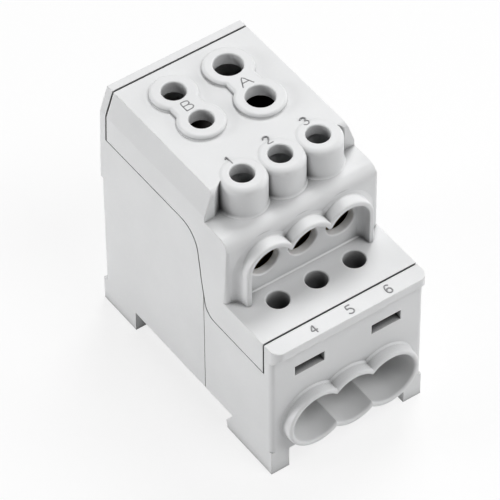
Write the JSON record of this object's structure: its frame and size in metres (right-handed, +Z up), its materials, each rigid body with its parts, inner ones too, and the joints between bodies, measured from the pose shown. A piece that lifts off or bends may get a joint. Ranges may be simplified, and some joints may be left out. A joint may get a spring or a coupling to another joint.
{
  "type": "power distribution block",
  "caption": "Stepped rail-mounted terminal block that joins two rear wires to rows of smaller front wires through a clamped metal block.",
  "frame": {"origin": "middle of the bounding box, on the surface that the feet stand on", "axes": "+Z up, -Y towards the front collar and the steps, +X to the right seen from the front"},
  "size_m": [0.0404, 0.0676, 0.0669],
  "materials": {
    "housing": "fine matte light grey moulding",
    "conductor": "satin machined",
    "screw": "zinc plated satin"
  },
  "bodies": {
    "housing": {"cover": "housing", "rear_base": "housing", "front_base": "housing", "conductor_block": "conductor"},
    "screw_a_rear_body": {"screw_a_rear": "screw"},
    "screw_a_front_body": {"screw_a_front": "screw"},
    "screw_b_rear_body": {"screw_b_rear": "screw"},
    "screw_b_front_body": {"screw_b_front": "screw"},
    "screw_1_body": {"screw_1": "screw"},
    "screw_2_body": {"screw_2": "screw"},
    "screw_3_body": {"screw_3": "screw"},
    "screw_4_body": {"screw_4": "screw"},
    "screw_5_body": {"screw_5": "screw"},
    "screw_6_body": {"screw_6": "screw"}
  },
  "joints": [
    {"name": "screw_a_rear_travel", "type": "slide", "parent": "housing", "child": "screw_a_rear_body", "axis": [0, 0, 1], "range_m": [-0.008, 0]},
    {"name": "screw_a_front_travel", "type": "slide", "parent": "housing", "child": "screw_a_front_body", "axis": [0, 0, 1], "range_m": [-0.008, 0]},
    {"name": "screw_b_rear_travel", "type": "slide", "parent": "housing", "child": "screw_b_rear_body", "axis": [0, 0, 1], "range_m": [-0.0064, 0]},
    {"name": "screw_b_front_travel", "type": "slide", "parent": "housing", "child": "screw_b_front_body", "axis": [0, 0, 1], "range_m": [-0.0064, 0]},
    {"name": "screw_1_travel", "type": "slide", "parent": "housing", "child": "screw_1_body", "axis": [0, 0, 1], "range_m": [-0.005, 0]},
    {"name": "screw_2_travel", "type": "slide", "parent": "housing", "child": "screw_2_body", "axis": [0, 0, 1], "range_m": [-0.005, 0]},
    {"name": "screw_3_travel", "type": "slide", "parent": "housing", "child": "screw_3_body", "axis": [0, 0, 1], "range_m": [-0.005, 0]},
    {"name": "screw_4_travel", "type": "slide", "parent": "housing", "child": "screw_4_body", "axis": [0, 0, 1], "range_m": [-0.0064, 0]},
    {"name": "screw_5_travel", "type": "slide", "parent": "housing", "child": "screw_5_body", "axis": [0, 0, 1], "range_m": [-0.0064, 0]},
    {"name": "screw_6_travel", "type": "slide", "parent": "housing", "child": "screw_6_body", "axis": [0, 0, 1], "range_m": [-0.0064, 0]}
  ]
}
